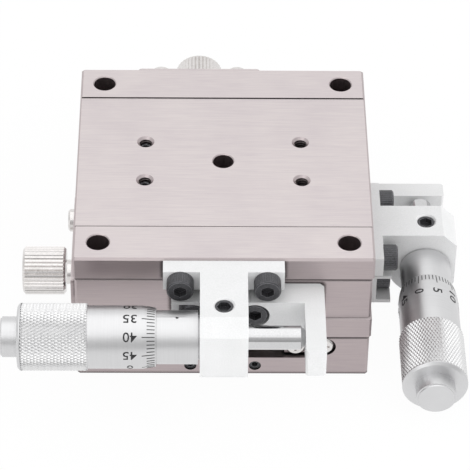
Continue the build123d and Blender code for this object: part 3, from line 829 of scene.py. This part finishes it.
def model_spring():
    """One close-wound preload spring with an eye round each post, on the upper axis's far side."""
    turns = int(2 * COIL_END / COIL_PITCH)
    bpy.ops.mesh.primitive_circle_add(vertices=WIRE_SIDES, radius=WIRE_RADIUS * MM)
    coil = rest(bpy.context.object, "spring_coil")
    coil.data.transform(Matrix.Translation(at(0, COIL_RADIUS, 0)))
    modify(coil, "SCREW", angle=2 * pi, screw_offset=2 * COIL_END / turns * MM,
           iterations=turns, steps=COIL_STEPS, render_steps=COIL_STEPS, axis="X",
           use_merge_vertices=True, merge_threshold=COIL_WELD * MM)
    coil.data.transform(Matrix.Translation(at(-COIL_END, SPRING_Y, SPRING_Z)))
    parts = [coil]
    for side in (-1, 1):
        bpy.ops.mesh.primitive_torus_add(
            major_radius=(POST_RADIUS + WIRE_RADIUS + EYE_PLAY) * MM,
            minor_radius=WIRE_RADIUS * MM, major_segments=EYE_SEGMENTS,
            minor_segments=WIRE_SIDES, location=at(side * POST_X, SPRING_Y, SPRING_Z))
        parts.append(bpy.context.object)
        start = side * COIL_END
        end = side * (POST_X - POST_RADIUS - 2 * WIRE_RADIUS)
        parts.append(add_wire(
            (start + end) / 2, SPRING_Y, SPRING_Z,
            abs(end - start) + 2 * LEG_OVERLAP, (0, pi / 2, 0)))
        parts.append(add_wire(
            start - side * TAIL_INSET, SPRING_Y + COIL_RADIUS / 2, SPRING_Z,
            COIL_RADIUS, (pi / 2, 0, 0)))
    for one in parts:
        rest(one, one.name)
    return join(parts, "spring")


def softbox(name, place, width, height, power, mirrored):
    """A rectangular soft light aimed at the object."""
    data = bpy.data.lights.new(name, "AREA")
    data.shape = "RECTANGLE"
    data.size = width
    data.size_y = height
    data.energy = power
    lamp = bpy.data.objects.new(name, data)
    bpy.context.scene.collection.objects.link(lamp)
    lamp.location = place
    lamp.rotation_euler = (LIGHTS_AIM - lamp.location).to_track_quat("-Z", "Y").to_euler()
    lamp.visible_glossy = mirrored


set_camera()

for node in SLOTS:
    for holder in frame["nodes"][node].material_slots:
        holder.material = finish_of(node)

# The thimbles' knurl and scales turn with them.
knurl = model_knurl()
marks = model_marks()
marks.data.transform(head_turn(pi / 2 - UPPER_ZERO))
values = range(0, DIVISIONS, NUMBERED)
numbers = lay_on_cylinder(
    [model_number(str(value), NUMBER_CENTRE, mark_angle(value), THIMBLE_RADIUS)
     for value in values], THIMBLE_RADIUS, "x_thimble_numbers")
for piece, finish, slot, own in (
        (knurl, rolled_chrome, "satin_chrome", PLAIN),
        (marks, engraving_black, "black_oxide_steel", head_turn(-LOWER_TURN)),
        (numbers, engraving_black, "black_oxide_steel", head_turn(-LOWER_TURN))):
    twin = copy_of(piece, "y" + piece.name[1:], TO_LOWER @ own)
    for one, axis in ((piece, "x"), (twin, "y")):
        dress(one, finish, slot, f"{axis}_spindle_unit")

# The sleeves' scales ride with the carriages.
sleeve_marks = lay_on_cylinder([model_sleeve_marks()], BARREL_RADIUS, "x_sleeve_marks")
sleeve_numbers = lay_on_cylinder(
    [model_number(str(value), SLEEVE_ZERO - value, SLEEVE_NUMBER_ANGLE, BARREL_RADIUS,
                  SLEEVE_NUMBER_SIZE)
     for value in SLEEVE_NUMBERS], BARREL_RADIUS, "x_sleeve_numbers")
for piece in (sleeve_marks, sleeve_numbers):
    twin = copy_of(piece, "y" + piece.name[1:], TO_LOWER @ head_turn(LOWER_SLEEVE_TURN))
    dress(piece, engraving_black, "black_oxide_steel", "table")
    dress(twin, engraving_black, "black_oxide_steel", "saddle")

# One knurled ring is the pattern for the heads of eight screws, and isn't kept itself.
pattern = model_screw_knurl()
first = Vector(BRACKET_SCREWS[0])
for kind, places, bodies in (
        ("bracket", BRACKET_SCREWS, {"x": "table", "y": "saddle"}),
        ("anvil", ANVIL_SCREWS, {"x": "saddle", "y": "base"})):
    for number, place in enumerate(places, 1):
        step = Matrix.Translation((Vector(place) - first) * MM)
        for axis, level in (("x", PLAIN), ("y", TO_LOWER)):
            twin = copy_of(pattern, f"{axis}_{kind}_screw_knurl_{number}", level @ step)
            dress(twin, black_oxide, "black_oxide_steel", bodies[axis])
bpy.data.objects.remove(pattern)

for number, mouth in enumerate(THREAD_MOUTHS, 1):
    dress(model_thread(mouth, f"table_thread_{number}"), ground_nickel, "plated_steel", "table")

screw = model_table_screw()
gap = TABLE_SCREWS[1][1] - TABLE_SCREWS[0][1]
other_screw = copy_of(screw, "table_set_screw_2", Matrix.Translation(at(0, gap, 0)))
for piece in (screw, other_screw):
    dress(piece, black_oxide, "black_oxide_steel", "table")

# A pair of springs on each axis, in place of the imported ones; each pair is listed with the two
# bodies that it joins.
far_spring = model_spring()
near_spring = copy_of(far_spring, "spring_near", Matrix.Translation(at(0, -2 * SPRING_Y, 0)))
upper_pair = join([far_spring, near_spring], "x_spring_coils")
lower_pair = copy_of(upper_pair, "y_spring_coils", TO_LOWER)
for pair, axis, level, under, over in (
        (upper_pair, "x", PLAIN, "saddle", "table"),
        (lower_pair, "y", TO_LOWER, "base", "saddle")):
    pair.data.materials.clear()
    pair.data.materials.append(spring_wire)
    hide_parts(f"{axis}_preload_springs")
    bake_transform(pair)

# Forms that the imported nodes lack, as the photograph shows them: the sleeve and the spindle a
# little thicker, a finer wrench hole, a flatter bevel, a smaller chamfer on the cap, a larger knob
# on a slimmer collar, screws nearer to their mouths, and the lower anvil's arm shorter and nearer
# to the column.
sleeve_moves = [
    ring(-29.5, -5, *BARREL, reach=0.1),
    move(lambda x, y, z: (hypot(x - WRENCH_HOLE_X, y - HEAD_Y) < WRENCH_HOLE_REACH
                          and z > HEAD_Z + WRENCH_HOLE_FLOOR),
         (WRENCH_HOLE_SHRINK, WRENCH_HOLE_SHRINK, 1), (WRENCH_HOLE_X, HEAD_Y, HEAD_Z)),
]
spindle_moves = [ring(-20, 16.5, *SPINDLE)]
thimble_moves = [
    ring(-37.4, -13.2, *BORE, reach=0.03),
    ring(-40.2, -26.6, 6.5, KNURL_ROOT - KNURL_FLOOR_DROP),  # floor under the knurl
    ring(-13.3, -13.2, 5.5, BEVEL_RADIUS, reach=0.1),  # front edge, and the bore's mouth with it
    ring(-14.2, -14, 5.733, 5.9),  # two rings on the way up the bevel
    ring(-15.1, -14.9, 5.967, 6.05),
    ring(-26.7, -26.6, 6.35, KNURL_ROOT),  # front rim of the grip
    ring(-27.2, -26.9, 6.65, KNURL_ROOT),
    ring(-40.1, -39.7, 6.65, KNURL_TIP, shift=(GRIP_END_SHIFT, 0, 0)),  # rear rim of the grip
    ring(-40.4, -40.2, 6.35, 6.12),
]
cap_moves = [
    ring(-44, -43.6, *CAP_END, reach=0.5),
    ring(-43.4, -43, 4, 4, shift=(CAP_CHAMFER_SHIFT, 0, 0), reach=0.1),
]
knob_moves = [
    knob_ring(3.3, 5, 32.5, 42, grow=KNOB_GRIP[1] / KNOB_GRIP[0]),
    knob_ring(3.1, 3.3, 31, 33, grow=KNOB_COLLAR[1] / KNOB_COLLAR[0]),
    knob_ring(1.5, 6, 32.5, 33.2, shift=(0, KNOB_FACE_SHIFT, 0)),  # the grip's inner face
]
key_growth = CLAMP_KEY[1] / CLAMP_KEY[0]
clamp_moves = [
    move(lambda x, y, z: hypot(x, y - HEAD_Y) < CLAMP_KEY_REACH,
         (key_growth, key_growth, 1), HEAD),
    move(lambda x, y, z: z > CLAMP_HEAD_Z, shift=(0, 0, CLAMP_RISE)),
]
end_screw_moves = [move(lambda x, y, z: True, shift=(END_SCREW_SHIFT, 0, 0))]
lower_spindle_moves = spindle_moves + [
    move(lambda x, y, z: x > SPINDLE_TIP_X, shift=(ANVIL_SHIFT, 0, 0))]
lower_anvil_moves = [
    move(lambda x, y, z: x > ANVIL_FACE_X, shift=(ANVIL_SHIFT, 0, 0)),
    move(lambda x, y, z: y < ANVIL_END_Y, shift=(0, ANVIL_TRIM, 0)),
]

# None as the upper moves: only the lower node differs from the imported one.
for name, upper_moves, lower_moves, lower_turn in (
        ("micrometer_sleeve", sleeve_moves, sleeve_moves, head_turn(LOWER_SLEEVE_TURN)),
        ("spindle", spindle_moves, lower_spindle_moves, PLAIN),
        ("thimble", thimble_moves, thimble_moves, PLAIN),
        ("thimble_cap", cap_moves, cap_moves, PLAIN),
        ("lock_knob", knob_moves, knob_moves, PLAIN),
        ("clamp_screw", clamp_moves, clamp_moves, PLAIN),
        ("end_set_screws", end_screw_moves, end_screw_moves, PLAIN),
        ("anvil_plate", None, lower_anvil_moves, PLAIN)):
    for axis, moves, level in (
            ("x", upper_moves, PLAIN), ("y", lower_moves, TO_LOWER @ lower_turn)):
        if moves is None:
            continue
        node = f"{axis}_{name}"
        piece = fitted(f"x_{name}", f"{node}_fitted", moves)
        piece.data.transform(level)
        dress(piece, finish_of(node), SLOTS[node], BODIES[node])
        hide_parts(node)

# To the eye the floor glows nearly white; to the light it is plain white paint.
white_surface, tree, output = start_material("studio_floor")
seen = seen_rays(tree)
glow = add(tree, "ShaderNodeEmission", {"Color": WHITE, "Strength": 1.0})
paint = add(tree, "ShaderNodeBsdfDiffuse", {"Color": colour(FLOOR_PAINT)})
share = add(tree, "ShaderNodeMath", {0: seen, 1: FLOOR_GLOW}, operation="MULTIPLY").outputs[0]
mixed = add(tree, "ShaderNodeMixShader", {0: share, 1: paint.outputs[0], 2: glow.outputs[0]})
tree.links.new(mixed.outputs[0], output.inputs["Surface"])
clear_selection()
bpy.ops.mesh.primitive_plane_add(size=FLOOR_SIZE, location=(0, 0, -FLOOR_DROP))
floor = bpy.context.object
floor.name = "studio_floor"
floor.data.materials.append(white_surface)

world = bpy.data.worlds.new("studio")
bpy.context.scene.world = world
world.use_nodes = True
tree = world.node_tree
tree.nodes.clear()
seen = seen_rays(tree)
aim = add(tree, "ShaderNodeTexCoord").outputs["Generated"]
slant = add(tree, "ShaderNodeVectorMath", {
    0: aim, 1: SKY_SLANT}, operation="DOT_PRODUCT").outputs["Value"]
fade = add(tree, "ShaderNodeMapRange", {
    "Value": slant, "From Min": SKY_SPAN[0], "From Max": SKY_SPAN[1],
    "To Min": SKY_LEVELS[0], "To Max": SKY_LEVELS[1]}).outputs["Result"]
strength = add(tree, "ShaderNodeMix", {
    SHARE: seen, VALUE_A: SKY_ON_MATT, VALUE_B: fade}, data_type="FLOAT").outputs[VALUE_OUT]
sky = add(tree, "ShaderNodeBackground", {"Color": WHITE, "Strength": strength})
tree.links.new(sky.outputs[0], add(tree, "ShaderNodeOutputWorld").inputs["Surface"])

for name, settings in SOFTBOXES.items():
    softbox(name, *settings)
bpy.context.scene.view_settings.view_transform = "Standard"
